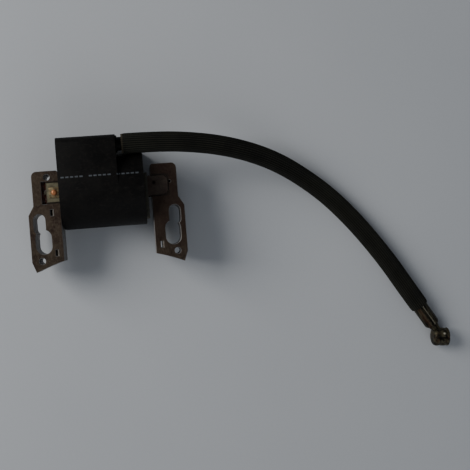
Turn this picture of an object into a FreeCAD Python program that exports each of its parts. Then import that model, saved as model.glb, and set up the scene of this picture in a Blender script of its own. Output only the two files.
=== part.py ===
import FreeCAD, Part
import math
import os
import Sketcher

# A flywheel magneto ignition coil, lying on its flat potted rear face.
# X runs from the left pole leg to the right one, Y from the pole faces to the
# top of the lead tower and Z from the rear face to the front of the shell.
# The origin is under the middle of the coil, on the surface it lies on.

SIZES = [
    ("stackThickness", 14.3, "thickness of the lamination stacks"),
    ("coreHeight", 13.5, "height of the stacks' mid-plane above the rear face"),
    ("barAxis", 5.35, "Y of the centre bar's axis"),
    ("barWidth", 8.7, "width of the centre bar"),
    ("barLeftEnd", 24.7, "reach of the bar's square left end"),
    ("barRightEnd", 26.5, "reach of the bar's rounded right end"),
    ("barRightRound", 2.8, "corner radius of that end"),
    ("barNubWidth", 1.6, "nub on the bar's left end"),
    ("barNubLength", 0.8, "length of that nub"),
    ("gapEnd", 26.5, "far side of the clearance slot beyond the bar's left end"),
    ("gapWidth", 9.5, "length of that slot along Y"),
    ("legInner", 19.2, "inner edge of a pole leg"),
    ("legOuter", 32.6, "outer edge of a leg beside its slot"),
    ("legUpperOuter", 30.3, "outer edge of a leg above its jog"),
    ("jogLow", -3.75, "lower end of the jog"),
    ("jogHigh", 0.1, "upper end of the jog"),
    ("legTop", 14.5, "top edge of a leg"),
    ("legTopRound", 2.2, "radius of the outer top corner"),
    ("legTopChamfer", 0.8, "chamfer of the inner top corner"),
    ("poleRadius", 76.2, "radius of the pole faces, 3 inches"),
    ("poleCentre", -97.35, "Y of the flywheel's axis"),
    ("poleTip", 31.0, "X of a leg's lowest point"),
    ("poleShoulder", -23.35, "Y where the outer edge turns in to the tip"),
    ("lowerSlotSpacing", 54.1, "between the wide lobes of the two screw slots"),
    ("lowerSlotWidth", 6.5, "width of a wide lobe, for a 1/4 inch screw"),
    ("lowerSlotBottom", -20.25, "lower end of a wide lobe"),
    ("lowerSlotTop", -9.97, "upper end of a wide lobe"),
    ("upperSlotSpacing", 56.6, "between the narrow lobes"),
    ("upperSlotWidth", 4.9, "width of a narrow lobe, for a No. 10 screw"),
    ("upperSlotBottom", -11.81, "lower end of a narrow lobe"),
    ("upperSlotTop", -3.35, "upper end of a narrow lobe"),
    ("tipHoleX", 28.3, "locating hole near the tip"),
    ("tipHoleY", -23.05, "locating hole near the tip"),
    ("tipHoleRadius", 1.35, "locating hole near the tip"),
    ("topHoleX", 24.0, "hole near the left leg's top"),
    ("topHoleY", 11.85, "hole near the left leg's top"),
    ("topHoleRadius", 1.3, "hole near the left leg's top"),
    ("lowKeyX", 22.0, "stacking key near a leg's foot"),
    ("lowKeyY", -19.95, "stacking key near a leg's foot"),
    ("highKeyX", 22.9, "stacking key under the left leg's bar"),
    ("highKeyY", -3.05, "stacking key under the left leg's bar"),
    ("keyWidth", 1.3, "stacking key, along X"),
    ("keyLength", 2.7, "stacking key, along Y"),
    ("stakeX", 27.1, "staking pit beside the bar's rounded end"),
    ("stakeY", 6.6, "staking pit beside the bar's rounded end"),
    ("barPitX", 20.4, "staking pit in the bar"),
    ("pitRadius", 0.55, "staking pits"),
    ("pitDepth", 1.6, "staking pits"),
    ("shellRadius", 15.9, "rounded front of the moulded shell"),
    ("shellWall", 1.8, "wall of the shell"),
    ("endWall", 1.5, "end walls of the shell"),
    ("shellLeft", -18.6, "left end of the shell"),
    ("shellRight", 16.4, "right end of the shell"),
    ("towerRight", 5.7, "face that the lead comes out of"),
    ("towerTop", 27.3, "top of the lead tower"),
    ("towerRound", 3.5, "radius of the tower's front edge"),
    ("bobbinGap", 0.15, "play between the bar and its bobbin"),
    ("bobbinWall", 1.0, "wall of the primary bobbin"),
    ("bobbinLeft", -18.2, "left end of the primary bobbin"),
    ("bobbinFlange", 1.3, "outer flange at the bobbin's right end"),
    ("flangeLow", -8.4, "lower edge of that flange"),
    ("flangeHigh", 10.8, "upper edge of that flange"),
    ("flangeReach", 9.0, "half the height of that flange"),
    ("innerFlange", 1.0, "flanges that hold the windings"),
    ("primaryBuild", 1.25, "radial build of the primary winding"),
    ("windingGap", 0.1, "resin between a winding and its bobbin"),
    ("secondaryWall", 0.8, "wall of the secondary bobbin"),
    ("secondaryBuild", 1.5, "radial build of the secondary winding"),
    ("secondaryRound", 4.3, "corner radius of the secondary winding"),
    ("boardLeft", -15.6, "circuit board"),
    ("boardLow", 15.6, "circuit board"),
    ("boardBase", 3.0, "height of the circuit board"),
    ("boardLength", 18.4, "circuit board along X"),
    ("boardWidth", 9.8, "circuit board along Y"),
    ("boardThickness", 1.2, "circuit board"),
    ("caseShiftX", 0.9, "transistor case from the board's corner"),
    ("caseShiftY", 0.8, "transistor case from the board's corner"),
    ("caseLength", 6.2, "transistor case along X"),
    ("caseWidth", 5.4, "transistor case along Y"),
    ("caseHeight", 2.3, "transistor case"),
    ("tabShiftX", 1.4, "transistor tab from the board's corner"),
    ("tabShiftY", 0.4, "transistor tab from the board's corner"),
    ("tabLength", 5.2, "transistor tab along X"),
    ("tabWidth", 6.3, "transistor tab along Y"),
    ("tabHeight", 0.5, "transistor tab"),
    ("triggerShiftX", 11.4, "trigger coil's axis from the board's corner"),
    ("triggerShiftY", 3.8, "trigger coil's axis from the board's corner"),
    ("triggerRadius", 3.2, "outside of the trigger coil"),
    ("triggerBore", 1.3, "inside of the trigger coil"),
    ("triggerHeight", 5.0, "trigger coil"),
    ("pinRadius", 1.2, "trigger coil's iron pin"),
    ("pinHeight", 6.6, "trigger coil's iron pin"),
    ("resistorRadius", 1.1, "resistors"),
    ("resistorLength", 6.0, "resistors"),
    ("resistorInset", 1.5, "resistors' axis from the board's far edge"),
    ("resistorHeight", 1.2, "resistors' axis above the board"),
    ("biasShift", 1.2, "bias resistor from the board's left edge"),
    ("triggerResistorShift", 8.6, "trigger resistor from the board's left edge"),
    ("diodeShiftX", 16.4, "diode's axis from the board's left edge"),
    ("diodeShiftY", 1.2, "diode from the board's near edge"),
    ("diodeRadius", 1.3, "clamp diode"),
    ("diodeLength", 4.6, "clamp diode"),
    ("diodeHeight", 1.4, "diode's axis above the board"),
    ("tagLeft", -23.4, "earth tag"),
    ("tagLength", 5.1, "earth tag along X"),
    ("tagWidth", 4.4, "earth tag along Y"),
    ("tagShift", -0.1, "middle of the earth tag from the bar's axis"),
    ("tagThickness", 0.4, "earth tag"),
    ("beadX", -21.2, "solder bead on the earth tag"),
    ("beadBase", 1.35, "radius of the solder bead at the tag"),
    ("beadTop", 0.75, "radius of the solder bead's top"),
    ("beadHeight", 0.55, "solder bead"),
    ("bladeLeft", -26.2, "free end of the stop terminal's blade"),
    ("bladeLow", -6.4, "stop terminal, along Y"),
    ("bladeBase", 2.4, "height of the stop terminal"),
    ("bladeLength", 9.1, "stop terminal along X"),
    ("bladeWidth", 4.8, "stop terminal, a 3/16 inch blade"),
    ("bladeThickness", 0.8, "stop terminal"),
    ("bladeEyeShift", 2.4, "hole in the stop terminal from its free end"),
    ("bladeEyeRadius", 0.8, "hole in the stop terminal"),
    ("stripLeft", -11.6, "strip from the winding to the lead"),
    ("stripShift", 9.75, "start of that strip from the bar's axis"),
    ("stripReach", 10.4, "length of that strip"),
    ("stripWidth", 2.0, "width of that strip"),
    ("stripThickness", 0.6, "sheet of that strip"),
    ("spikeRadius", 0.65, "spike that the lead's strands are pushed on"),
    ("spikeLength", 6.9, "length of that spike from the middle of its strip"),
    ("strandStart", 2.0, "strands start this far inside the insulation"),
    ("leadY", 23.6, "axis of the high-tension lead at the tower"),
    ("leadZ", 22.6, "axis of the high-tension lead at the tower"),
    ("wireRadius", 2.9, "outside of the lead's insulation"),
    ("wireBore", 0.8, "hole in the insulation for the strands"),
    ("wireGap", 0.02, "fit of the insulation in the tower"),
    ("strandRadius", 0.75, "bundle of copper strands"),
    ("sleeveRadius", 4.3, "outside of the braided sleeve"),
    ("sleeveBore", 3.15, "inside of the braided sleeve"),
    ("sleeveStart", 8.0, "X of the sleeve's first end"),
    ("wireInside", 14.0, "lead inside the tower, from the sleeve's end"),
    ("wireInBarrel", 9.4, "lead inside the crimp barrel"),
    ("sealRadius", 3.6, "sealing ring round the lead"),
    ("sealLength", 0.6, "sealing ring round the lead"),
    ("barrelRadius", 3.45, "outside of the crimp barrel"),
    ("barrelBore", 2.95, "inside of the crimp barrel"),
    ("barrelStart", 0.2, "gap between the sleeve and the barrel"),
    ("barrelLength", 10.3, "crimp barrel"),
    ("seamWidth", 0.3, "open seam of the crimp barrel"),
    ("clipRadius", 4.2, "outside of the plug clip's cup"),
    ("clipWall", 0.45, "sheet of the plug clip"),
    ("clipLength", 7.2, "length of the cup"),
    ("neckWidth", 3.2, "neck between barrel and cup"),
    ("neckThickness", 2.2, "neck between barrel and cup"),
    ("neckLength", 4.2, "neck, up to the inside of the cup"),
    ("springRadius", 3.7, "outside of the plug spring"),
    ("springBore", 3.2, "inside of the plug spring, for a 1/4 inch plug tip"),
    ("springLength", 4.8, "length of the plug spring"),
    ("springInset", 0.6, "plug spring behind the cup's mouth"),
    ("springGap", 2.4, "gap in the plug spring"),
]

# The lead's route: out of the tower, down to the surface and along it.
LEAD_ROUTE = [
    (8.0, 23.6, 22.6),
    (21.5, 23.6, 22.6),
    (36.5, 22.7, 21.9),
    (51.5, 20.3, 19.0),
    (65.4, 16.6, 14.6),
    (78.3, 10.9, 9.6),
    (89.6, 3.7, 5.7),
    (99.8, -4.9, 4.5),
    (109.0, -15.1, 4.4),
    (117.3, -25.7, 4.4),
    (124.8, -36.6, 4.4),
    (131.8, -48.0, 4.4),
    (138.1, -58.2, 4.4),
]
LEAD_POINTS = [FreeCAD.Vector(*point) for point in LEAD_ROUTE]
CLIP_CENTRE = (146.6, -73.2, 4.25)
CLIP_TURN = -4.6  # degrees from +X to the way the clip's mouth faces

document = FreeCAD.newDocument("IgnitionCoil")
sheet = document.addObject("Spreadsheet::Sheet", "Sizes")
for row, (alias, number, meaning) in enumerate(SIZES, start=1):
    sheet.set(f"A{row}", meaning)
    sheet.set(f"B{row}", str(number))
    sheet.setAlias(f"B{row}", alias)
document.recompute()

nodes = {}


def worth(expression):
    """The number that an expression on the sheet gives."""
    return float(sheet.evalExpression(expression))


def bind(thing, **expressions):
    """Ties properties of an object to expressions on the sheet; base=(x, y, z) ties its place."""
    for name, expression in expressions.items():
        if name == "base":
            for axis, part in zip("xyz", expression):
                thing.setExpression(f"Placement.Base.{axis}", part)
        else:
            thing.setExpression(name, expression)
    return thing


def node(name, thing):
    """Marks an object as a sub-part that is written out under this name."""
    thing.Label = name
    nodes[name] = thing
    return thing


# ---- primitives and booleans ----

TURNS = {
    "X": FreeCAD.Rotation(FreeCAD.Vector(0, 1, 0), 90),
    "Y": FreeCAD.Rotation(FreeCAD.Vector(1, 0, 0), -90),
    "Z": FreeCAD.Rotation(),
}


def box(name, base, length, width, height):
    solid = document.addObject("Part::Box", name)
    return bind(solid, base=base, Length=length, Width=width, Height=height)


def cylinder(name, base, axis, radius, height):
    solid = document.addObject("Part::Cylinder", name)
    solid.Placement.Rotation = TURNS[axis]
    return bind(solid, base=base, Radius=radius, Height=height)


def cut(name, base, tool):
    result = document.addObject("Part::Cut", name)
    result.Base = base
    result.Tool = tool
    return result


def fuse(name, shapes):
    result = document.addObject("Part::MultiFuse", name)
    result.Shapes = shapes
    return result


# ---- sketched bodies ----


def newBody(name):
    return document.addObject("PartDesign::Body", name)


def newSketch(body, name, plane="XY_Plane", offset="0"):
    """A sketch on one of the body's own origin planes, moved along the plane's normal."""
    sketch = body.newObject("Sketcher::SketchObject", name)
    support = next(face for face in body.Origin.OriginFeatures if face.Role == plane)
    sketch.AttachmentSupport = [(support, "")]
    sketch.MapMode = "FlatFace"
    sketch.setExpression("AttachmentOffset.Base.z", offset)
    return sketch


def holdPoint(sketch, geometry, end, x, y, mark):
    """Dimensions a point of the sketch from its origin by two expressions."""
    for kind, expression in (("DistanceX", x), ("DistanceY", y)):
        rule = Sketcher.Constraint(kind, -1, 1, geometry, end, worth(expression))
        label = f"{mark}{kind[-1]}"
        sketch.renameConstraint(sketch.addConstraint(rule), label)
        sketch.setExpression(f"Constraints.{label}", expression)


def arcBetween(start, end, radius, turn):
    """An arc of up to half a circle from start to end; turn is 1 if it runs anticlockwise."""
    half = (end - start) * 0.5
    side = FreeCAD.Vector(-half.y, half.x, 0).normalize() * turn
    centre = start + half + side * math.sqrt(max(radius**2 - half.Length**2, 0))
    first, last = (start, end) if turn > 0 else (end, start)
    angles = [math.atan2(point.y - centre.y, point.x - centre.x) for point in (first, last)]
    circle = Part.Circle(centre, FreeCAD.Vector(0, 0, 1), radius)
    return Part.ArcOfCircle(circle, *angles)


def addOutline(sketch, corners, arcs=None, mark="p"):
    """A closed outline. arcs maps a corner's number to (turn, radius) of the arc that leaves it,
    or to (turn, radius, axis, centre) for a half circle, whose centre is held instead."""
    arcs = arcs or {}
    points = [FreeCAD.Vector(worth(x), worth(y), 0) for x, y in corners]
    count = len(points)
    ends = []
    for number, point in enumerate(points):
        target = points[(number + 1) % count]
        if number in arcs:
            turn, radius = arcs[number][:2]
            index = sketch.addGeometry(arcBetween(point, target, worth(radius), turn), False)
            ends.append((index, (1, 2) if turn > 0 else (2, 1)))
        else:
            index = sketch.addGeometry(Part.LineSegment(point, target), False)
            ends.append((index, (1, 2)))
    for number, (x, y) in enumerate(corners):
        index, (first, last) = ends[number]
        following, (entry, _) = ends[(number + 1) % count]
        sketch.addConstraint(Sketcher.Constraint("Coincident", index, last, following, entry))
        holdPoint(sketch, index, first, x, y, f"{mark}{number}")
    for number, (_, radius, *centre) in arcs.items():
        index = ends[number][0]
        label = f"{mark}{number}arc"
        if centre:
            axis, expression = centre
            rule = Sketcher.Constraint(f"Distance{axis}", -1, 1, index, 3, worth(expression))
        else:
            expression = radius
            rule = Sketcher.Constraint("Radius", index, worth(expression))
        sketch.renameConstraint(sketch.addConstraint(rule), label)
        sketch.setExpression(f"Constraints.{label}", expression)


def addRectangle(sketch, low, high, round="", mark="p"):
    """A rectangle between two corners, with rounded corners if a radius is given."""
    (left, bottom), (right, top) = low, high
    if not round:
        addOutline(sketch, [(left, bottom), (right, bottom), (right, top), (left, top)], mark=mark)
        return
    corners = [
        (f"{left} + {round}", bottom),
        (f"{right} - {round}", bottom),
        (right, f"{bottom} + {round}"),
        (right, f"{top} - {round}"),
        (f"{right} - {round}", top),
        (f"{left} + {round}", top),
        (left, f"{top} - {round}"),
        (left, f"{bottom} + {round}"),
    ]
    addOutline(sketch, corners, {number: (1, round) for number in (1, 3, 5, 7)}, mark)


def addSlot(sketch, x, bottom, top, width, mark):
    """A slot with round ends that runs along Y."""
    half = f"{width} / 2"
    corners = [
        (f"{x} + {half}", f"{bottom} + {half}"),
        (f"{x} + {half}", f"{top} - {half}"),
        (f"{x} - {half}", f"{top} - {half}"),
        (f"{x} - {half}", f"{bottom} + {half}"),
    ]
    arcs = {1: (1, half, "Y", f"{top} - {half}"), 3: (1, half, "Y", f"{bottom} + {half}")}
    addOutline(sketch, corners, arcs, mark)


def addCircle(sketch, x, y, radius, mark):
    centre = FreeCAD.Vector(worth(x), worth(y), 0)
    circle = Part.Circle(centre, FreeCAD.Vector(0, 0, 1), worth(radius))
    index = sketch.addGeometry(circle, False)
    holdPoint(sketch, index, 3, x, y, mark)
    label = f"{mark}radius"
    rule = Sketcher.Constraint("Radius", index, worth(radius))
    sketch.renameConstraint(sketch.addConstraint(rule), label)
    sketch.setExpression(f"Constraints.{label}", radius)


def addPad(body, sketch, length, symmetric=False):
    pad = body.newObject("PartDesign::Pad", f"{sketch.Name}Pad")
    pad.Profile = sketch
    if symmetric:
        pad.SideType = "Symmetric"
    return bind(pad, Length=length)


def addPocket(body, sketch, depth=""):
    """A pocket below the sketch, or one right through both ways if no depth is given."""
    pocket = body.newObject("PartDesign::Pocket", f"{sketch.Name}Pocket")
    pocket.Profile = sketch
    if depth:
        bind(pocket, Length=depth)
    else:
        pocket.SideType = "Symmetric"
        pocket.Type = "ThroughAll"
    return pocket


# ---- lamination stacks ----

MID = "Sizes.coreHeight"
FRONT = "Sizes.coreHeight + Sizes.stackThickness / 2"


def poleLaminations(name, side):
    """One pole leg. side is 1 for the right leg and -1 for the left."""
    sign = "" if side > 0 else "-"
    barLow = "Sizes.barAxis - Sizes.barWidth / 2"
    barHigh = "Sizes.barAxis + Sizes.barWidth / 2"
    faceAt = "Sizes.poleCentre + sqrt(Sizes.poleRadius ^ 2 - {0} ^ 2)"
    corners = [
        ("Sizes.legInner", faceAt.format("Sizes.legInner")),
        ("Sizes.poleTip", faceAt.format("Sizes.poleTip")),
        ("Sizes.legOuter", "Sizes.poleShoulder"),
        ("Sizes.legOuter", "Sizes.jogLow"),
        ("Sizes.legUpperOuter", "Sizes.jogHigh"),
        ("Sizes.legUpperOuter", "Sizes.legTop - Sizes.legTopRound"),
        ("Sizes.legUpperOuter - Sizes.legTopRound", "Sizes.legTop"),
        ("Sizes.legInner + Sizes.legTopChamfer", "Sizes.legTop"),
        ("Sizes.legInner", "Sizes.legTop - Sizes.legTopChamfer"),
        ("Sizes.legInner", barHigh),
    ]
    arcs = {0: (-side, "Sizes.poleRadius"), 5: (side, "Sizes.legTopRound")}
    if side > 0:
        roundStart = "Sizes.barRightEnd - Sizes.barRightRound"
        arcs[len(corners)] = arcs[len(corners) + 2] = (-1, "Sizes.barRightRound")
        corners += [
            (roundStart, barHigh),
            ("Sizes.barRightEnd", f"{barHigh} - Sizes.barRightRound"),
            ("Sizes.barRightEnd", f"{barLow} + Sizes.barRightRound"),
            (roundStart, barLow),
        ]
    else:
        gapLow = "Sizes.barAxis - Sizes.gapWidth / 2"
        gapHigh = "Sizes.barAxis + Sizes.gapWidth / 2"
        corners += [
            ("Sizes.barLeftEnd", barHigh),
            ("Sizes.barLeftEnd", gapHigh),
            ("Sizes.gapEnd", gapHigh),
            ("Sizes.gapEnd", gapLow),
            ("Sizes.barLeftEnd", gapLow),
            ("Sizes.barLeftEnd", barLow),
        ]
    corners.append(("Sizes.legInner", barLow))
    corners = [(f"{sign}({x})", y) for x, y in corners]

    body = newBody(name)
    outline = newSketch(body, f"{name}Outline", offset=MID)
    addOutline(outline, corners, arcs)
    addPad(body, outline, "Sizes.stackThickness", symmetric=True)

    holes = newSketch(body, f"{name}Holes", offset=MID)
    addCircle(holes, f"{sign}Sizes.tipHoleX", "Sizes.tipHoleY", "Sizes.tipHoleRadius", "tip")
    addKey(holes, f"{sign}Sizes.lowKeyX", "Sizes.lowKeyY", "low")
    if side < 0:
        addCircle(holes, "-Sizes.topHoleX", "Sizes.topHoleY", "Sizes.topHoleRadius", "top")
        addKey(holes, "-Sizes.highKeyX", "Sizes.highKeyY", "high")
    addPocket(body, holes)

    for lobe in ("lower", "upper"):
        slot = newSketch(body, f"{name}{lobe.title()}Slot", offset=MID)
        x = f"{sign}Sizes.{lobe}SlotSpacing / 2"
        addSlot(slot, x, f"Sizes.{lobe}SlotBottom", f"Sizes.{lobe}SlotTop",
                f"Sizes.{lobe}SlotWidth", lobe)
        addPocket(body, slot)

    if side > 0:
        pit = newSketch(body, f"{name}Pit", offset=FRONT)
        addCircle(pit, "Sizes.stakeX", "Sizes.stakeY", "Sizes.pitRadius", "pit")
        addPocket(body, pit, "Sizes.pitDepth")
    return node(name, body)


def addKey(sketch, x, y, mark):
    """A small rectangular stacking key, centred on x and y."""
    low = (f"{x} - Sizes.keyWidth / 2", f"{y} - Sizes.keyLength / 2")
    high = (f"{x} + Sizes.keyWidth / 2", f"{y} + Sizes.keyLength / 2")
    addRectangle(sketch, low, high, mark=mark)


def barLaminations():
    low = "Sizes.barAxis - Sizes.barWidth / 2"
    high = "Sizes.barAxis + Sizes.barWidth / 2"
    nubLow = "Sizes.barAxis - Sizes.barNubWidth / 2"
    nubHigh = "Sizes.barAxis + Sizes.barNubWidth / 2"
    nubEnd = "-Sizes.barLeftEnd - Sizes.barNubLength"
    roundStart = "Sizes.barRightEnd - Sizes.barRightRound"
    corners = [
        ("-Sizes.barLeftEnd", low),
        (roundStart, low),
        ("Sizes.barRightEnd", f"{low} + Sizes.barRightRound"),
        ("Sizes.barRightEnd", f"{high} - Sizes.barRightRound"),
        (roundStart, high),
        ("-Sizes.barLeftEnd", high),
        ("-Sizes.barLeftEnd", nubHigh),
        (nubEnd, nubHigh),
        (nubEnd, nubLow),
        ("-Sizes.barLeftEnd", nubLow),
    ]
    body = newBody("center_bar_laminations")
    outline = newSketch(body, "barOutline", offset=MID)
    addOutline(outline, corners, {number: (1, "Sizes.barRightRound") for number in (1, 3)})
    addPad(body, outline, "Sizes.stackThickness", symmetric=True)
    pit = newSketch(body, "barPit", offset=FRONT)
    addCircle(pit, "Sizes.barPitX", "Sizes.stakeY", "Sizes.pitRadius", "pit")
    addPocket(body, pit, "Sizes.pitDepth")
    return node("center_bar_laminations", body)


# ---- moulded shell and its potting cavity ----

FRONT_PLANE = "Sizes.coreHeight + Sizes.shellRadius"
NOTCH_HALF = "(Sizes.barWidth / 2 + Sizes.bobbinGap + Sizes.bobbinWall + Sizes.windingGap)"
NOTCH_TOP = "Sizes.coreHeight + Sizes.stackThickness / 2 + Sizes.bobbinGap + Sizes.bobbinWall"
SHELL_LENGTH = "(Sizes.shellRight - Sizes.shellLeft)"


def shellBody(name, inset, start, length, towerStart, towerLength):
    """A body with a round front and straight sides, and the tower beside it. Both the shell's
    outside and its cavity have this form, the cavity smaller by inset."""
    radius = f"(Sizes.shellRadius - {inset})"
    left, right = f"Sizes.barAxis - {radius}", f"Sizes.barAxis + {radius}"
    body = newBody(name)
    section = newSketch(body, f"{name}Section", "YZ_Plane", start)
    corners = [(left, "0"), (right, "0"), (right, MID), (left, MID)]
    addOutline(section, corners, {2: (1, radius, "Y", MID)})
    addPad(body, section, length)

    tower = newSketch(body, f"{name}Tower", "YZ_Plane", towerStart)
    edge = f"(Sizes.towerRound - {inset})"
    top, front = f"Sizes.towerTop - {inset}", f"{FRONT_PLANE} - {inset}"
    corners = [
        ("Sizes.barAxis", "0"),
        (top, "0"),
        (top, f"{front} - {edge}"),
        (f"{top} - {edge}", front),
        ("Sizes.barAxis", front),
    ]
    addOutline(tower, corners, {2: (1, edge)})
    addPad(body, tower, towerLength)
    return body


def pottingCavity():
    """Everything that resin and embedded parts fill: the hollow and the notches in its ends."""
    hollow = shellBody(
        "hollow",
        "Sizes.shellWall",
        "Sizes.shellLeft + Sizes.endWall",
        f"{SHELL_LENGTH} - 2 * Sizes.endWall",
        "Sizes.shellLeft + Sizes.shellWall",
        "Sizes.towerRight - Sizes.shellLeft - 2 * Sizes.shellWall",
    )
    notch = box(
        "barNotch",
        ("Sizes.shellLeft", f"Sizes.barAxis - {NOTCH_HALF}", "0"),
        SHELL_LENGTH,
        f"2 * {NOTCH_HALF}",
        NOTCH_TOP,
    )
    bladeSlot = box(
        "bladeSlot",
        ("Sizes.shellLeft", "Sizes.bladeLow", "0"),
        "Sizes.endWall",
        "Sizes.bladeWidth",
        "Sizes.bladeBase + Sizes.bladeThickness",
    )
    return fuse("pottingCavity", [hollow, notch, bladeSlot])


def coilShell(cavity):
    outside = shellBody(
        "shellOutside",
        "0",
        "Sizes.shellLeft",
        SHELL_LENGTH,
        "Sizes.shellLeft",
        "Sizes.towerRight - Sizes.shellLeft",
    )
    hollowed = cut("shellHollowed", outside, cavity)
    leadHole = cylinder(
        "leadHole",
        ("Sizes.sleeveStart - Sizes.wireInside - Sizes.wireGap", "Sizes.leadY", "Sizes.leadZ"),
        "X",
        "Sizes.wireRadius + Sizes.wireGap",
        "Sizes.wireInside + Sizes.wireGap",
    )
    return node("coil_shell", cut("coilShell", hollowed, leadHole))


# ---- bobbins and windings ----


def ringBody(name, start, length, inner, outer, round=""):
    """A rectangular ring round the bar. inner and outer are half sizes along Y and Z."""
    body = newBody(name)
    ring = newSketch(body, f"{name}Ring", "YZ_Plane", start)
    for mark, (across, up), corner in (("outer", outer, round), ("inner", inner, "")):
        low = (f"Sizes.barAxis - {across}", f"{MID} - {up}")
        high = (f"Sizes.barAxis + {across}", f"{MID} + {up}")
        addRectangle(ring, low, high, corner, mark)
    addPad(body, ring, length)
    return body


def addFlange(body, name, start, thickness, inner, outer, round=""):
    flange = newSketch(body, name, "YZ_Plane", start)
    for mark, (across, up), corner in (("outer", outer, round), ("inner", inner, "")):
        low = (f"Sizes.barAxis - {across}", f"{MID} - {up}")
        high = (f"Sizes.barAxis + {across}", f"{MID} + {up}")
        addRectangle(flange, low, high, corner, mark)
    addPad(body, flange, thickness)


def grown(half, *steps):
    """A pair of half sizes made larger by the same steps."""
    return tuple("(" + " + ".join((value, *steps)) + ")" for value in half)


BAR_HALF = ("Sizes.barWidth / 2", "Sizes.stackThickness / 2")
BOBBIN_HOLE = grown(BAR_HALF, "Sizes.bobbinGap")
BOBBIN_OUT = grown(BOBBIN_HOLE, "Sizes.bobbinWall")
PRIMARY_HOLE = grown(BOBBIN_OUT, "Sizes.windingGap")
PRIMARY_OUT = grown(PRIMARY_HOLE, "Sizes.primaryBuild")
SECOND_HOLE = grown(PRIMARY_OUT, "Sizes.windingGap")
SECOND_OUT = grown(SECOND_HOLE, "Sizes.secondaryWall")
COIL_HOLE = grown(SECOND_OUT, "Sizes.windingGap")
COIL_OUT = grown(COIL_HOLE, "Sizes.secondaryBuild")
CAVITY_LEFT = "(Sizes.shellLeft + Sizes.endWall)"
CAVITY_RIGHT = "(Sizes.shellRight - Sizes.endWall)"
CAVITY_LENGTH = f"({CAVITY_RIGHT} - {CAVITY_LEFT})"


def primaryBobbin():
    end = "(Sizes.shellRight + Sizes.bobbinFlange)"
    body = ringBody(
        "primary_bobbin", "Sizes.bobbinLeft", f"{end} - Sizes.bobbinLeft", BOBBIN_HOLE, BOBBIN_OUT
    )
    flange = newSketch(body, "bobbinFlange", "YZ_Plane", "Sizes.shellRight")
    across, up = BOBBIN_HOLE
    addRectangle(
        flange,
        ("Sizes.flangeLow", f"{MID} - Sizes.flangeReach"),
        ("Sizes.flangeHigh", f"{MID} + Sizes.flangeReach"),
        mark="outer",
    )
    addRectangle(
        flange,
        (f"Sizes.barAxis - {across}", f"{MID} - {up}"),
        (f"Sizes.barAxis + {across}", f"{MID} + {up}"),
        mark="inner",
    )
    addPad(body, flange, "Sizes.bobbinFlange")
    for name, start in (
        ("leftCheek", f"{CAVITY_LEFT} + Sizes.windingGap"),
        ("rightCheek", f"{CAVITY_RIGHT} - Sizes.windingGap - Sizes.innerFlange"),
    ):
        addFlange(body, name, start, "Sizes.innerFlange", BOBBIN_HOLE, PRIMARY_OUT)
    return node("primary_bobbin", body)


def windings():
    start = f"{CAVITY_LEFT} + Sizes.innerFlange + 2 * Sizes.windingGap"
    length = f"{CAVITY_LENGTH} - 2 * Sizes.innerFlange - 4 * Sizes.windingGap"
    node("primary_winding", ringBody("primary_winding", start, length, PRIMARY_HOLE, PRIMARY_OUT))

    body = ringBody(
        "secondary_bobbin",
        f"{CAVITY_LEFT} + Sizes.windingGap",
        f"{CAVITY_LENGTH} - 2 * Sizes.windingGap",
        SECOND_HOLE,
        SECOND_OUT,
    )
    for name, place in (
        ("leftRim", f"{CAVITY_LEFT} + Sizes.windingGap"),
        ("rightRim", f"{CAVITY_RIGHT} - Sizes.windingGap - Sizes.innerFlange"),
    ):
        addFlange(body, name, place, "Sizes.innerFlange", SECOND_HOLE, COIL_OUT,
                  "Sizes.secondaryRound")
    node("secondary_bobbin", body)
    coil = ringBody("secondary_winding", start, length, COIL_HOLE, COIL_OUT, "Sizes.secondaryRound")
    node("secondary_winding", coil)


# ---- the ignition module in the tower's rear ----

BOARD_TOP = "(Sizes.boardBase + Sizes.boardThickness)"


def ignitionModule():
    board = box(
        "circuit_board",
        ("Sizes.boardLeft", "Sizes.boardLow", "Sizes.boardBase"),
        "Sizes.boardLength",
        "Sizes.boardWidth",
        "Sizes.boardThickness",
    )
    node("circuit_board", board)

    case = box(
        "transistorCase",
        (
            "Sizes.boardLeft + Sizes.caseShiftX",
            "Sizes.boardLow + Sizes.caseShiftY",
            f"{BOARD_TOP} + Sizes.tabHeight",
        ),
        "Sizes.caseLength",
        "Sizes.caseWidth",
        "Sizes.caseHeight",
    )
    tab = box(
        "transistorTab",
        ("Sizes.boardLeft + Sizes.tabShiftX", "Sizes.boardLow + Sizes.tabShiftY", BOARD_TOP),
        "Sizes.tabLength",
        "Sizes.tabWidth",
        "Sizes.tabHeight",
    )
    node("switching_transistor", fuse("switchingTransistor", [case, tab]))

    middle = ("Sizes.boardLeft + Sizes.triggerShiftX", "Sizes.boardLow + Sizes.triggerShiftY")
    foot = (*middle, BOARD_TOP)
    wound = cylinder("triggerWound", foot, "Z", "Sizes.triggerRadius", "Sizes.triggerHeight")
    eye = cylinder("triggerEye", foot, "Z", "Sizes.triggerBore", "Sizes.triggerHeight")
    node("trigger_coil", cut("triggerCoil", wound, eye))
    pin = cylinder("trigger_core", foot, "Z", "Sizes.pinRadius", "Sizes.pinHeight")
    node("trigger_core", pin)

    height = f"{BOARD_TOP} + Sizes.resistorHeight"
    across = "Sizes.boardLow + Sizes.boardWidth - Sizes.resistorInset"
    for name, shift in (
        ("bias_resistor", "Sizes.biasShift"),
        ("trigger_resistor", "Sizes.triggerResistorShift"),
    ):
        base = (f"Sizes.boardLeft + {shift}", across, height)
        node(name, cylinder(name, base, "X", "Sizes.resistorRadius", "Sizes.resistorLength"))
    base = (
        "Sizes.boardLeft + Sizes.diodeShiftX",
        "Sizes.boardLow + Sizes.diodeShiftY",
        f"{BOARD_TOP} + Sizes.diodeHeight",
    )
    diode = cylinder("clamp_diode", base, "Y", "Sizes.diodeRadius", "Sizes.diodeLength")
    node("clamp_diode", diode)


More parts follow.
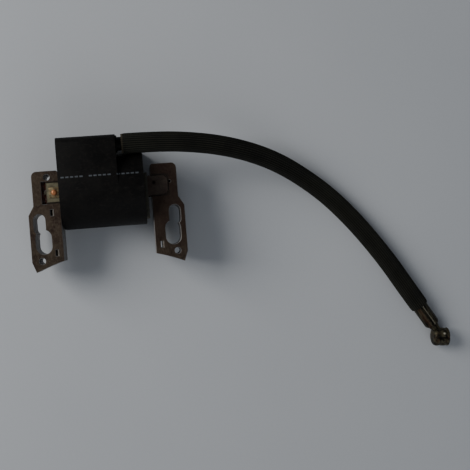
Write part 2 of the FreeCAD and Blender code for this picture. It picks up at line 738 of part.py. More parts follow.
# ---- earth and stop connections ----


def connections():
    middle = "Sizes.barAxis + Sizes.tagShift"
    tag = box(
        "ground_tag",
        ("Sizes.tagLeft", f"{middle} - Sizes.tagWidth / 2", FRONT),
        "Sizes.tagLength",
        "Sizes.tagWidth",
        "Sizes.tagThickness",
    )
    node("ground_tag", tag)
    bead = document.addObject("Part::Cone", "ground_solder")
    bind(bead, base=("Sizes.beadX", middle, f"{FRONT} + Sizes.tagThickness"))
    bind(bead, Radius1="Sizes.beadBase", Radius2="Sizes.beadTop", Height="Sizes.beadHeight")
    node("ground_solder", bead)

    blade = box(
        "blade",
        ("Sizes.bladeLeft", "Sizes.bladeLow", "Sizes.bladeBase"),
        "Sizes.bladeLength",
        "Sizes.bladeWidth",
        "Sizes.bladeThickness",
    )
    eye = cylinder(
        "bladeEye",
        (
            "Sizes.bladeLeft + Sizes.bladeEyeShift",
            "Sizes.bladeLow + Sizes.bladeWidth / 2",
            "Sizes.bladeBase",
        ),
        "Z",
        "Sizes.bladeEyeRadius",
        "Sizes.bladeThickness",
    )
    node("stop_terminal", cut("stopTerminal", blade, eye))

    strip = box(
        "outputStrip",
        (
            "Sizes.stripLeft",
            "Sizes.barAxis + Sizes.stripShift",
            "Sizes.leadZ - Sizes.stripWidth / 2",
        ),
        "Sizes.stripThickness",
        "Sizes.stripReach",
        "Sizes.stripWidth",
    )
    spike = cylinder(
        "outputSpike",
        ("Sizes.stripLeft + Sizes.stripThickness / 2", "Sizes.leadY", "Sizes.leadZ"),
        "X",
        "Sizes.spikeRadius",
        "Sizes.spikeLength",
    )
    node("hv_output_pin", fuse("outputPin", [strip, spike]))


# ---- high-tension lead ----


def leadPath(before, after):
    """The route as straight runs and tangent arcs, with straight lengths added at both ends."""
    points = list(LEAD_POINTS)
    points[0] -= (points[1] - points[0]).normalize() * before
    points[-1] += (points[-1] - points[-2]).normalize() * after
    runs = [second.sub(first).Length for first, second in zip(LEAD_POINTS, LEAD_POINTS[1:])]
    edges, here, radii = [], points[0], []
    for number in range(1, len(points) - 1):
        corner = points[number]
        into = (corner - points[number - 1]).normalize()
        away = (points[number + 1] - corner).normalize()
        turn = into.getAngle(away)
        trim = 0.45 * min(runs[number - 1], runs[number])
        radii.append(trim / math.tan(turn / 2))
        start, end = corner - into * trim, corner + away * trim
        inward = (away - into).normalize()
        middle = corner + inward * (radii[-1] / math.cos(turn / 2) - radii[-1])
        edges.append(Part.LineSegment(here, start).toShape())
        edges.append(Part.Arc(start, middle, end).toShape())
        here = end
    edges.append(Part.LineSegment(here, points[-1]).toShape())
    return Part.Wire(edges), radii


def sweep(name, path, radius):
    """A round section swept along a path that starts along +X."""
    section = document.addObject("Part::Circle", f"{name}Section")
    section.Placement = FreeCAD.Placement(path.Shape.Vertexes[0].Point, TURNS["X"])
    bind(section, Radius=radius)
    tube = document.addObject("Part::Sweep", name)
    tube.Sections = [section]
    tube.Spine = (path, [f"Edge{number + 1}" for number in range(len(path.Shape.Edges))])
    tube.Solid = True
    return tube


def highTensionLead():
    inside, barrel = worth("Sizes.wireInside"), worth("Sizes.wireInBarrel")
    lengths = {}
    paths = {}
    for name, before, after in (
        ("sleeveRoute", 0, 0),
        ("wireRoute", inside, barrel),
        ("strandRoute", inside - worth("Sizes.strandStart"), barrel),
    ):
        wire, radii = leadPath(before, after)
        paths[name] = document.addObject("Part::Feature", name)
        paths[name].Shape = wire
        lengths[name] = wire.Length
    diameter = 2 * worth("Sizes.sleeveRadius")
    print("bend radii, mm:", [round(radius) for radius in radii])
    print(f"smallest is {min(radii) / diameter:.1f} diameters; sleeve {lengths['sleeveRoute']:.1f} mm,",
          f"wire {lengths['wireRoute']:.1f} mm")

    outside = sweep("sleeveOutside", paths["sleeveRoute"], "Sizes.sleeveRadius")
    bore = sweep("sleeveHollow", paths["sleeveRoute"], "Sizes.sleeveBore")
    node("lead_sleeve", cut("leadSleeve", outside, bore))
    outside = sweep("wireOutside", paths["wireRoute"], "Sizes.wireRadius")
    bore = sweep("wireHollow", paths["wireRoute"], "Sizes.wireBore")
    node("hv_lead_insulation", cut("leadInsulation", outside, bore))
    node("hv_lead_conductor", sweep("leadConductor", paths["strandRoute"], "Sizes.strandRadius"))

    ring = cylinder(
        "sealOutside", ("Sizes.towerRight", "Sizes.leadY", "Sizes.leadZ"), "X",
        "Sizes.sealRadius", "Sizes.sealLength",
    )
    hole = cylinder(
        "sealHole", ("Sizes.towerRight", "Sizes.leadY", "Sizes.leadZ"), "X",
        "Sizes.wireRadius + Sizes.wireGap", "Sizes.sealLength",
    )
    node("lead_seal", cut("leadSeal", ring, hole))
    return lengths


# ---- plug terminal ----


def plugTerminal():
    """Crimp barrel in line with the lead's end, and the push-fit clip beyond it."""
    last = LEAD_POINTS[-1]
    along = (last - LEAD_POINTS[-2]).normalize()
    heading = math.degrees(math.atan2(along.y, along.x))
    spin = FreeCAD.Rotation(FreeCAD.Vector(0, 0, 1), heading)
    atLead = FreeCAD.Placement(last, spin)

    start = ("Sizes.barrelStart", "0", "0")
    rolled = cylinder("barrelRolled", start, "X", "Sizes.barrelRadius", "Sizes.barrelLength")
    bore = cylinder("barrelHole", start, "X", "Sizes.barrelBore", "Sizes.barrelLength")
    seam = box(
        "barrelSeam",
        ("Sizes.barrelStart", "-Sizes.seamWidth / 2", "0"),
        "Sizes.barrelLength",
        "Sizes.seamWidth",
        "Sizes.barrelRadius",
    )
    barrel = cut("crimpBarrel", rolled, fuse("barrelOpenings", [bore, seam]))
    barrel.Placement = atLead
    node("terminal_barrel", barrel)

    atClip = FreeCAD.Placement(
        FreeCAD.Vector(*CLIP_CENTRE), FreeCAD.Rotation(FreeCAD.Vector(0, 0, 1), CLIP_TURN)
    )
    half = "Sizes.clipLength / 2"
    cup = cylinder("clipCup", (f"-{half}", "0", "0"), "X", "Sizes.clipRadius", "Sizes.clipLength")
    cup.Placement.Rotation = TURNS["X"]
    neck = box(
        "clipNeck",
        ("Sizes.barrelStart + Sizes.barrelLength", "-Sizes.neckWidth / 2", "-Sizes.neckThickness / 2"),
        "Sizes.neckLength",
        "Sizes.neckWidth",
        "Sizes.neckThickness",
    )
    # the neck is drawn at the lead's end, so it is brought into the clip's own frame
    carried = document.addObject("Part::Compound", "neckCarried")
    carried.Links = [neck]
    carried.Placement = atClip.inverse() * atLead
    hollow = cylinder(
        "clipHollow", (f"-{half} + Sizes.clipWall", "0", "0"), "X",
        "Sizes.clipRadius - Sizes.clipWall", "Sizes.clipLength",
    )
    clip = cut("plugClip", fuse("clipSolid", [cup, carried]), hollow)
    clip.Placement = atClip
    node("terminal_clip", clip)

    base = (f"{half} - Sizes.springInset - Sizes.springLength", "0", "0")
    wound = cylinder("springWound", base, "X", "Sizes.springRadius", "Sizes.springLength")
    mouth = cylinder("springMouth", base, "X", "Sizes.springBore", "Sizes.springLength")
    split = box(
        "springSplit",
        (base[0], "-Sizes.springGap / 2", "0"),
        "Sizes.springLength",
        "Sizes.springGap",
        "Sizes.springRadius",
    )
    spring = cut("plugSpring", wound, fuse("springOpenings", [mouth, split]))
    spring.Placement = atClip
    node("clip_spring", spring)


# ---- assembly ----


def pottingResin(cavity):
    """Resin fills the cavity round every embedded part."""
    names = [
        "center_bar_laminations", "primary_bobbin", "primary_winding", "secondary_bobbin",
        "secondary_winding", "circuit_board", "switching_transistor", "trigger_coil",
        "trigger_core", "bias_resistor", "trigger_resistor", "clamp_diode", "stop_terminal",
        "ground_tag", "hv_output_pin", "hv_lead_insulation", "hv_lead_conductor",
    ]
    embedded = document.addObject("Part::Compound", "embeddedParts")
    embedded.Links = [nodes[name] for name in names]
    node("potting_resin", cut("pottingResin", cavity, embedded))


poleLaminations("left_pole_laminations", -1)
poleLaminations("right_pole_laminations", 1)
barLaminations()
cavity = pottingCavity()
coilShell(cavity)
primaryBobbin()
windings()
ignitionModule()
connections()
lengths = highTensionLead()
plugTerminal()
pottingResin(cavity)
document.recompute()

for thing in document.Objects:
    if {"Invalid", "Error"} & set(thing.State):
        raise RuntimeError(f"{thing.Name} failed: {thing.getStatusString()}")
for name, thing in nodes.items():
    shape = thing.Shape
    if shape.isNull() or not shape.isValid() or shape.Volume <= 0:
        raise RuntimeError(f"{name} has no valid solid")
    print(f"{name:26s} {len(shape.Solids)} solid(s), {shape.Volume:9.1f} mm3")

section = math.pi * (worth("Sizes.sleeveRadius") ** 2 - worth("Sizes.sleeveBore") ** 2)
swept = nodes["lead_sleeve"].Shape.Volume / (section * lengths["sleeveRoute"])
print(f"sleeve volume over section times length: {swept:.4f}")

os.makedirs("parts", exist_ok=True)
for name, thing in nodes.items():
    thing.Shape.exportStep(f"parts/{name}.step")
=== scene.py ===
import math
import random

import bmesh
import bpy
from mathutils import Matrix, Vector, noise
from mathutils.geometry import tessellate_polygon


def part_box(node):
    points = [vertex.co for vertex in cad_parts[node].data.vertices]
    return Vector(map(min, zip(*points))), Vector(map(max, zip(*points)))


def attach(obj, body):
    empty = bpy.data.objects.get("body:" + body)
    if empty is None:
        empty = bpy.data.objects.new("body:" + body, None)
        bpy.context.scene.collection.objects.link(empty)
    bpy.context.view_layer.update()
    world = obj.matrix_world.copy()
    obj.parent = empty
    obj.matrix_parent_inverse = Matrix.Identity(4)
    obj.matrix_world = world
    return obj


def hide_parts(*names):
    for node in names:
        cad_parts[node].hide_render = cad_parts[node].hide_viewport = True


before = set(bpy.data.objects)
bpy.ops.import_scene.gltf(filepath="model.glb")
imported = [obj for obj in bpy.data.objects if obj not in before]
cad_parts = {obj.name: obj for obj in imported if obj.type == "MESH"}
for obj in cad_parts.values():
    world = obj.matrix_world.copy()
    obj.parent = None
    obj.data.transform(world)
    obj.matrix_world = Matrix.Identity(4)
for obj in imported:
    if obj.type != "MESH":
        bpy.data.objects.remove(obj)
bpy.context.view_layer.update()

mm = 0.001
upAxis = Vector((0, 0, 1))


# camera and light

view = {
    "lens": 62,  # on a 36 mm sensor
    "standsOver": (12.7 * mm, -15.26 * mm),
    "height": 365.7 * mm,
    "lean": math.radians(6.72),  # towards the lead's far end
    "turn": math.radians(4.58),
}

studio = {
    "floorSize": 3.0,
    "lamps": (  # name, place, size, power, colour
        ("windowLamp", (-0.62, 0.27, 0.48), 0.5, 5.3, (1, 0.985, 0.96)),
        ("fillLamp", (0.2, -0.8, 0.6), 0.8, 1.6, (0.93, 0.96, 1)),
    ),
    "skyColour": (0.86, 0.91, 1, 1),
    "skyStrength": 0.146,
}


def placeCamera():
    lean, turn = view["lean"], view["turn"]
    right = Vector((math.cos(turn), -math.sin(turn), 0))
    up = Vector((math.sin(turn), math.cos(turn), 0))
    forward = right * math.sin(lean) - upAxis * math.cos(lean)
    across = right * math.cos(lean) + upAxis * math.sin(lean)
    camera = bpy.data.objects.new("benchCamera", bpy.data.cameras.new("benchCamera"))
    camera.data.sensor_width = 36
    camera.data.lens = view["lens"]
    camera.data.clip_start = 0.01
    camera.matrix_world = Matrix.Translation((*view["standsOver"], view["height"])) @ Matrix(
        (across, up, -forward)
    ).transposed().to_4x4()
    bpy.context.scene.collection.objects.link(camera)
    bpy.context.scene.camera = camera


def softLamp(name, place, size, power, colour):
    lamp = bpy.data.lights.new(name, "AREA")
    lamp.shape = "SQUARE"
    lamp.size = size
    lamp.energy = power
    lamp.color = colour
    holder = bpy.data.objects.new(name, lamp)
    holder.location = place
    holder.rotation_euler = (-Vector(place)).to_track_quat("-Z", "Y").to_euler()
    bpy.context.scene.collection.objects.link(holder)


def lightStudio():
    for lamp in studio["lamps"]:
        softLamp(*lamp)
    world = bpy.data.worlds.new("studioAir")
    world.use_nodes = True
    air = world.node_tree.nodes["Background"]
    air.inputs["Color"].default_value = studio["skyColour"]
    air.inputs["Strength"].default_value = studio["skyStrength"]
    bpy.context.scene.world = world


# shader maths

class Term:
    # a socket that can be added, multiplied and compared
    def __init__(self, finish, socket):
        self.finish = finish
        self.socket = socket

    def __add__(self, other):
        return self.finish.maths("ADD", self, other)

    def __sub__(self, other):
        return self.finish.maths("SUBTRACT", self, other)

    def __rsub__(self, other):
        return self.finish.maths("SUBTRACT", other, self)

    def __mul__(self, other):
        return self.finish.maths("MULTIPLY", self, other)

    def __truediv__(self, other):
        return self.finish.maths("DIVIDE", self, other)

    def __neg__(self):
        return self * -1

    def __abs__(self):
        return self.finish.maths("ABSOLUTE", self)

    def __gt__(self, other):
        return self.finish.maths("GREATER_THAN", self, other)

    def __lt__(self, other):
        return self.finish.maths("LESS_THAN", self, other)

    __radd__ = __add__
    __rmul__ = __mul__


class Finish:
    # a material whose constants sit on the shader and whose maps come from expressions
    def __init__(self, name, **constants):
        self.material = bpy.data.materials.new(name)
        self.material.use_nodes = True
        self.tree = self.material.node_tree
        self.surface = self.tree.nodes["Principled BSDF"]
        for socket, value in constants.items():
            self.surface.inputs[socket.replace("_", " ")].default_value = value

    def node(self, kind, settings=None, sockets=None, out=0):
        made = self.tree.nodes.new(kind)
        for setting, value in (settings or {}).items():
            if setting == "stops":
                self.setStops(made.color_ramp, value)
            else:
                setattr(made, setting, value)
        for socket, value in (sockets or {}).items():
            if isinstance(value, Term):
                self.tree.links.new(value.socket, made.inputs[socket])
            else:
                made.inputs[socket].default_value = value
        return Term(self, made.outputs[out])

    def setStops(self, ramp, stops):
        while len(ramp.elements) < len(stops):
            ramp.elements.new(1)
        for element, (place, shade) in zip(ramp.elements, stops):
            element.position = place
            element.color = (shade, shade, shade, 1)

    def maths(self, operation, first, second=0.0):
        return self.node("ShaderNodeMath", {"operation": operation}, {0: first, 1: second})

    def place(self):
        # where a point is on the object, in millimetres
        spot = self.node("ShaderNodeTexCoord", out="Object")
        return self.node("ShaderNodeVectorMath", {"operation": "SCALE"}, {0: spot, "Scale": 1000})

    def along(self):
        # the map of a swept piece: turns round it and millimetres along it
        return self.node("ShaderNodeUVMap", {"uv_map": "along"})

    def axes(self, vector):
        apart = self.node("ShaderNodeSeparateXYZ", {}, {0: vector}).socket.node
        return [Term(self, socket) for socket in apart.outputs]

    def join(self, x, y, z=0.0):
        return self.node("ShaderNodeCombineXYZ", {}, {"X": x, "Y": y, "Z": z})

    def noise(self, where, scale, detail=3, roughness=0.55, distortion=0):
        return self.node(
            "ShaderNodeTexNoise",
            {},
            {"Vector": where, "Scale": scale, "Detail": detail, "Roughness": roughness,
             "Distortion": distortion},
        )

    def dot(self, vector, direction):
        return self.node(
            "ShaderNodeVectorMath", {"operation": "DOT_PRODUCT"}, {0: vector, 1: direction}, out=1
        )

    def ramp(self, factor, *stops):
        return self.node("ShaderNodeValToRGB", {"stops": stops}, {"Fac": factor})

    def rise(self, factor, low, high):
        return self.ramp(factor, (low, 0), (high, 1))

    def fall(self, factor, low, high):
        return self.ramp(factor, (low, 1), (high, 0))

    def mix(self, factor, first, second):
        # each colour is three numbers or the output of another node
        first, second = (
            shade if isinstance(shade, Term) else (*shade, 1) for shade in (first, second)
        )
        return self.node(
            "ShaderNodeMix", {"data_type": "RGBA"}, {0: factor, 6: first, 7: second}, out=2
        )

    def bump(self, height, depth, strength=1.0):
        # height is a 0 to 1 map and depth is in millimetres
        normal = self.node(
            "ShaderNodeBump", {}, {"Height": height, "Distance": depth * mm, "Strength": strength}
        )
        self.set("Normal", normal)

    def set(self, socket, term):
        self.tree.links.new(term.socket, self.surface.inputs[socket])


# mesh helpers

def makePiece(name, points, faces, finish, smoothTo=35, uv=None):
    mesh = bpy.data.meshes.new(name)
    mesh.from_pydata(points, [], faces)
    mesh.validate()
    mesh.polygons.foreach_set("use_smooth", [True] * len(mesh.polygons))
    mesh.set_sharp_from_angle(angle=math.radians(smoothTo))
    if uv:
        layer = mesh.uv_layers.new(name="along")
        for face in mesh.polygons:
            for loop, corner in zip(face.loop_indices, uv[face.index]):
                layer.data[loop].uv = corner
    mesh.materials.append(finish.material)
    piece = bpy.data.objects.new(name, mesh)
    bpy.context.scene.collection.objects.link(piece)
    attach(piece, "root")
    return piece


def wear(node, finish):
    # gives a CAD node its material
    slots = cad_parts[node].data.materials
    slots.clear()
    slots.append(finish.material)


def frames(line):
    # a frame at each point of a line that doesn't twist: point, side, up
    tangents = []
    for number in range(len(line)):
        before, after = line[max(number - 1, 0)], line[min(number + 1, len(line) - 1)]
        tangents.append((after - before).normalized())
    up = (upAxis - tangents[0] * upAxis.dot(tangents[0])).normalized()
    made = []
    for point, tangent in zip(line, tangents):
        up = (up - tangent * up.dot(tangent)).normalized()
        made.append((point, up.cross(tangent), up))
    return made


def lengths(line):
    total, made = 0.0, [0.0]
    for before, after in zip(line, line[1:]):
        total += (after - before).length
        made.append(total)
    return made


def tubeFaces(rings, sides):
    faces = []
    for ring in range(rings - 1):
        for step in range(sides):
            after = (step + 1) % sides
            faces.append((ring * sides + step, ring * sides + after,
                          (ring + 1) * sides + after, (ring + 1) * sides + step))
    return faces


def endFaces(rings, sides):
    return [tuple(reversed(range(sides))), tuple(range((rings - 1) * sides, rings * sides))]


def sweepRings(line, skin, sides):
    # skin gives, for a place along the line and a turn, how far out the surface is
    points, uv = [], []
    travelled = lengths(line)
    for (point, side, up), far in zip(frames(line), travelled):
        for step in range(sides):
            turn = 2 * math.pi * step / sides
            points.append(point + (side * math.cos(turn) + up * math.sin(turn)) * skin(far, turn))
    for low, high in zip(travelled, travelled[1:]):
        low, high = low / mm, high / mm
        for step in range(sides):
            left, right = step / sides, (step + 1) / sides
            uv.append(((left, low), (right, low), (right, high), (left, high)))
    return points, tubeFaces(len(line), sides), uv


# the lead's route

leadRoute = [
    (0.0080, 0.0236, 0.0226),
    (0.0215, 0.0236, 0.0226),
    (0.0365, 0.0227, 0.0219),
    (0.0515, 0.0203, 0.0190),
    (0.0654, 0.0166, 0.0146),
    (0.0783, 0.0109, 0.0096),
    (0.0896, 0.0037, 0.0057),
    (0.0998, -0.0049, 0.0045),
    (0.1090, -0.0151, 0.0044),
    (0.1173, -0.0257, 0.0044),
    (0.1248, -0.0366, 0.0044),
    (0.1318, -0.0480, 0.0044),
    (0.1381, -0.0582, 0.0044),
]


def leadLine():
    # the smooth line through the route, read back from its own spline
    curve = bpy.data.curves.new("leadRoute", "CURVE")
    curve.dimensions = "3D"
    curve.resolution_u = 14
    spline = curve.splines.new("NURBS")
    spline.points.add(len(leadRoute) - 1)
    for knot, place in zip(spline.points, leadRoute):
        knot.co = (*place, 1)
    spline.order_u = 3
    spline.use_endpoint_u = True
    holder = bpy.data.objects.new("leadRoute", curve)
    bpy.context.scene.collection.objects.link(holder)
    mesh = bpy.data.meshes.new_from_object(
        holder.evaluated_get(bpy.context.evaluated_depsgraph_get())
    )
    line = [vertex.co.copy() for vertex in mesh.vertices]
    bpy.data.objects.remove(holder)
    return line


sleeve = {
    "radius": 4.3 * mm,
    "bore": 3.15 * mm,
    "ribs": 28,
    "sidesPerRib": 7,
    "ribDepth": 0.17 * mm,
    "wander": 0.05 * mm,
    "waves": 7,
    "waveLength": (14, 60),
    "lobes": (0, 1, 2, 3),
    "boreRipple": 0.04 * mm,
    "boreWaves": 9,  # round the bore
    "boreTwist": 700,  # radians for each metre of length
    "lip": 0.25 * mm,
    "seed": 11,
}


def braidedSleeve(line, finish):
    draw = random.Random(sleeve["seed"])
    waves = [
        (draw.uniform(*sleeve["waveLength"]) * mm, draw.uniform(0, 6.3),
         draw.choice(sleeve["lobes"]), draw.uniform(0, 6.3))
        for _ in range(sleeve["waves"])
    ]
    total = lengths(line)[-1]
    sides = sleeve["ribs"] * sleeve["sidesPerRib"]

    def outside(far, turn):
        sway = sum(
            math.sin(far / length * 2 * math.pi + start) * math.cos(lobes * turn + phase)
            for length, start, lobes, phase in waves
        )
        rib = math.cos(sleeve["ribs"] * turn) * sleeve["ribDepth"]
        rounding = min(max(0.0, 1 - min(far, total - far) / sleeve["lip"]), 1)
        shrink = sleeve["lip"] * (1 - math.sqrt(1 - rounding**2))
        return sleeve["radius"] - sleeve["ribDepth"] + rib + sway * sleeve["wander"] / 3 - shrink

    def inside(far, turn):
        wave = math.sin(sleeve["boreWaves"] * turn + far * sleeve["boreTwist"])
        return sleeve["bore"] + sleeve["boreRipple"] * wave

    points, faces, uv = sweepRings(line, outside, sides)
    inner, innerFaces, innerUv = sweepRings(line, inside, sides)
    shift = len(points)
    points += inner
    faces += [tuple(corner + shift for corner in reversed(face)) for face in innerFaces]
    uv += [tuple(reversed(corner)) for corner in innerUv]
    last = len(line) - 1
    for ring, flip in ((0, True), (last, False)):
        for step in range(sides):
            after = (step + 1) % sides
            face = (
                ring * sides + step, ring * sides + after,
                shift + ring * sides + after, shift + ring * sides + step,
            )
            place = total / mm if ring else 0
            corner = [(step / sides, place), ((step + 1) / sides, place),
                      ((step + 1) / sides, place + 1), (step / sides, place + 1)]
            faces.append(tuple(reversed(face)) if flip else face)
            uv.append(list(reversed(corner)) if flip else corner)
    piece = makePiece("leadSleeve", points, faces, finish, smoothTo=50, uv=uv)
    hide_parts("lead_sleeve")
    return piece


wire = {
    "radius": 2.9 * mm,
    "inside": 14.0 * mm,
    "inBarrel": 9.4 * mm,
    "sides": 48,
    "added": (0.5, 0.999, 1),  # the rings past each end of the route, the last one nearly closed
    "closed": 0.02,
}


def leadWire(line, finish):
    first = (line[1] - line[0]).normalized()
    last = (line[-1] - line[-2]).normalized()
    before = [line[0] - first * wire["inside"] * part for part in reversed(wire["added"])]
    after = [line[-1] + last * wire["inBarrel"] * part for part in wire["added"]]
    route = before + line + after
    total = lengths(route)[-1]

    def skin(far, turn):
        end = min(far, total - far)
        return wire["radius"] * (wire["closed"] if end < 1e-7 else 1)

    points, faces, uv = sweepRings(route, skin, wire["sides"])
    faces += endFaces(len(route), wire["sides"])
    uv += [[(0, 0)] * wire["sides"]] * 2
    piece = makePiece("leadWire", points, faces, finish, uv=uv)
    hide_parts("hv_lead_insulation")
    return piece


# steel laminations

stack = {
    "plates": 22,
    "pitted": 3,  # the sheets at the front that the pits go through
    "foot": 6.35,
    "sheet": 0.65,
    "edge": 0.05 * mm,
    "deburr": 0.13 * mm,
    "shift": 0.018 * mm,
    "uneven": 0.03 * mm,
}


def faceLoops(node, height):
    # the outlines of a CAD node's flat face at this height, outer ones anticlockwise
    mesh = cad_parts[node].data
    spot = [(round(v.co.x / mm, 4), round(v.co.y / mm, 4)) for v in mesh.vertices]
    level = [abs(v.co.z - height) < 1e-6 for v in mesh.vertices]
    steps = {}
    for face in mesh.polygons:
        if all(level[corner] for corner in face.vertices):
            corners = [spot[corner] for corner in face.vertices]
            steps.update(dict.fromkeys(zip(corners, corners[1:] + corners[:1])))
    border = {start: end for (start, end) in steps if (end, start) not in steps}
    loops = []
    while border:
        start = min(border)
        loop, here = [], start
        while here in border:
            loop.append(Vector(here) * mm)
            here = border.pop(here)
        loops.append(dropStraight(loop))
    return loops


def dropStraight(loop):
    kept = []
    for before, here, after in zip(loop[-1:] + loop[:-1], loop, loop[1:] + loop[:1]):
        one, two = (here - before).normalized(), (after - here).normalized()
        if abs(one.x * two.y - one.y * two.x) > 1e-4:
            kept.append(here)
    return kept


def inset(loop, depth):
    # the outline moved into the metal, which lies to the left of its direction
    moved = []
    for before, here, after in zip(loop[-1:] + loop[:-1], loop, loop[1:] + loop[:1]):
        one, two = (here - before).normalized(), (after - here).normalized()
        side = Vector((-one.y - two.y, one.x + two.x))
        side = side / max(side.length_squared / 2, 0.5)
        moved.append(here + side * depth)
    return moved


def addPlate(points, faces, loops, low, high, lowEdge, highEdge):
    levels = ((low, lowEdge), (low + lowEdge, 0), (high - highEdge, 0), (high, highEdge))
    rings = []
    for height, depth in levels:
        ring = []
        for loop in loops:
            start = len(points)
            points.extend((spot.x, spot.y, height) for spot in inset(loop, depth))
            ring.append(range(start, len(points)))
        rings.append(ring)
    for lower, upper in zip(rings, rings[1:]):
        for bottom, top in zip(lower, upper):
            for step in range(len(bottom)):
                after = (step + 1) % len(bottom)
                faces.append((bottom[step], bottom[after], top[after], top[step]))
    flat = [[Vector((spot.x, spot.y, 0)) for spot in loop] for loop in loops]
    spots = [spot for loop in flat for spot in loop]
    under, over = ([number for part in ring for number in part] for ring in (rings[0], rings[-1]))
    for triangle in tessellate_polygon(flat):
        a, b, c = (spots[corner] for corner in triangle)
        if (b - a).cross(c - a).z < 0:
            triangle = tuple(reversed(triangle))
        faces.append(tuple(under[corner] for corner in reversed(triangle)))
        faces.append(tuple(over[corner] for corner in triangle))


def laminatedStack(name, node, finish, seed, slack=0.0):
    draw = random.Random(seed)
    low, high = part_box(node)
    front = faceLoops(node, high.z)
    rear = [list(reversed(loop)) for loop in faceLoops(node, low.z)]
    count = stack["plates"]
    thick = (high.z - low.z) / count
    points, faces = [], []
    for number in range(count):
        loops = front if number >= count - stack["pitted"] else rear
        shift = Vector((draw.uniform(-1, 1), draw.uniform(-1, 1))) * stack["shift"]
        shy = slack + draw.uniform(0, 1) * stack["uneven"] * (0 < number < count - 1)
        placed = [[spot + shift for spot in inset(loop, shy)] for loop in loops]
        lowEdge = stack["deburr"] if number == 0 else stack["edge"]
        highEdge = stack["deburr"] if number == count - 1 else stack["edge"]
        base = low.z + number * thick
        addPlate(points, faces, placed, base, base + thick, lowEdge, highEdge)
    piece = makePiece(name, points, faces, finish)
    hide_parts(node)


# the interlocks punched in the sheets: a ramp that rises to the right in each small key hole
keys = {
    "places": ((-22.9, -3.05), (-22.0, -19.95), (22.0, -19.95)),
    "width": 1.3,
    "length": 2.7,
    "start": 0.05,  # of the width, left of the middle
    "gap": 0.02,
    "top": 20.55,
    "drop": 1.3,
    "foot": 16.5,
}


def keyRamps(finish):
    points, faces = [], []
    for x, y in keys["places"]:
        left, right = x - keys["width"] * keys["start"], x + keys["width"] / 2 - keys["gap"]
        reach = keys["length"] / 2 - keys["gap"]
        start = len(points)
        for across, top in ((left, keys["top"] - keys["drop"]), (right, keys["top"])):
            for side in (y - reach, y + reach):
                points.append((across * mm, side * mm, keys["foot"] * mm))
                points.append((across * mm, side * mm, top * mm))
        box = ((0, 1, 3, 2), (4, 6, 7, 5), (0, 4, 5, 1), (2, 3, 7, 6), (1, 5, 7, 3), (0, 2, 6, 4))
        faces += [tuple(start + corner for corner in face) for face in box]
    return makePiece("sheetInterlocks", points, faces, finish)


# the dark varnish that has run into the gap beyond the bar's left end
varnish = {
    "low": (-26.45, 0.65),
    "high": (-24.75, 10.05),
    "columns": 12,
    "rows": 48,
    "foot": 8.0,
    "top": 19.5,
    "dip": 0.5,
    "uneven": 0.5,
    "ripple": (0.9, 0.7),
    "seed": 3.1,
}


def gapVarnish(finish):
    columns, rows = varnish["columns"], varnish["rows"]
    (left, near), (right, far) = varnish["low"], varnish["high"]
    across, along = varnish["ripple"]
    points, faces = [], []
    for row in range(rows):
        for column in range(columns):
            x = left + (right - left) * column / (columns - 1)
            y = near + (far - near) * row / (rows - 1)
            dip = varnish["dip"] * math.sin(math.pi * column / (columns - 1))
            wave = noise.noise(Vector((x * across, y * along, varnish["seed"]))) * varnish["uneven"]
            points.append((x * mm, y * mm, (varnish["top"] - dip + wave) * mm))
    for row in range(rows - 1):
        for column in range(columns - 1):
            start = row * columns + column
            faces.append((start, start + 1, start + columns + 1, start + columns))
    rim = list(range(columns)) + [row * columns + columns - 1 for row in range(1, rows)]
    rim += [(rows - 1) * columns + column for column in range(columns - 2, -1, -1)]
    rim += [row * columns for row in range(rows - 2, 0, -1)]
    base = len(points)
    points += [(points[corner][0], points[corner][1], varnish["foot"] * mm) for corner in rim]
    for step in range(len(rim)):
        after = (step + 1) % len(rim)
        faces.append((rim[after], rim[step], base + step, base + after))
    faces.append(tuple(base + step for step in reversed(range(len(rim)))))
    return makePiece("gapVarnish", points, faces, finish)


def softened(name, node, finish, width):
    # a copy of a CAD node with its sharp edges rounded
    shape = bmesh.new()
    shape.from_mesh(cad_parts[node].data)
    bmesh.ops.remove_doubles(shape, verts=shape.verts, dist=1e-7)
    bmesh.ops.dissolve_limit(
        shape, angle_limit=math.radians(0.4), verts=shape.verts, edges=shape.edges
    )
    bmesh.ops.recalc_face_normals(shape, faces=shape.faces)
    mesh = bpy.data.meshes.new(name)
    shape.to_mesh(mesh)
    shape.free()
    holder = bpy.data.objects.new(name, mesh)
    bpy.context.scene.collection.objects.link(holder)
    rounding = holder.modifiers.new("rounding", "BEVEL")
    rounding.width = width * mm
    rounding.segments = 3
    rounding.limit_method = "ANGLE"
    rounding.angle_limit = math.radians(40)
    rounded = bpy.data.meshes.new_from_object(
        holder.evaluated_get(bpy.context.evaluated_depsgraph_get())
    )
    bpy.data.objects.remove(holder)
    points = [vertex.co.copy() for vertex in rounded.vertices]
    faces = [tuple(face.vertices) for face in rounded.polygons]
    piece = makePiece(name, points, faces, finish, smoothTo=40)
    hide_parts(node)
    return piece


# the plug terminal

crimp = {
    "start": 0.2,
    "length": 10.3,
    "radius": 3.45,
    "wall": 0.38,
    "seam": 0.3,
    "curl": 0.42,  # how far the edges beside the seam roll in
    "curlWidth": 0.55,
    "closing": 0.45,  # how far the far end draws in
    "closingLength": 0.55,
    "bands": ((2.2, 0.10, 0.8), (5.4, 0.16, 1.2), (8.6, 0.12, 0.8)),  # place, depth, half width
    "bandEven": 0.55,  # the share of a band that is the same all round
    "arcPoints": 56,
    "stations": 44,
}

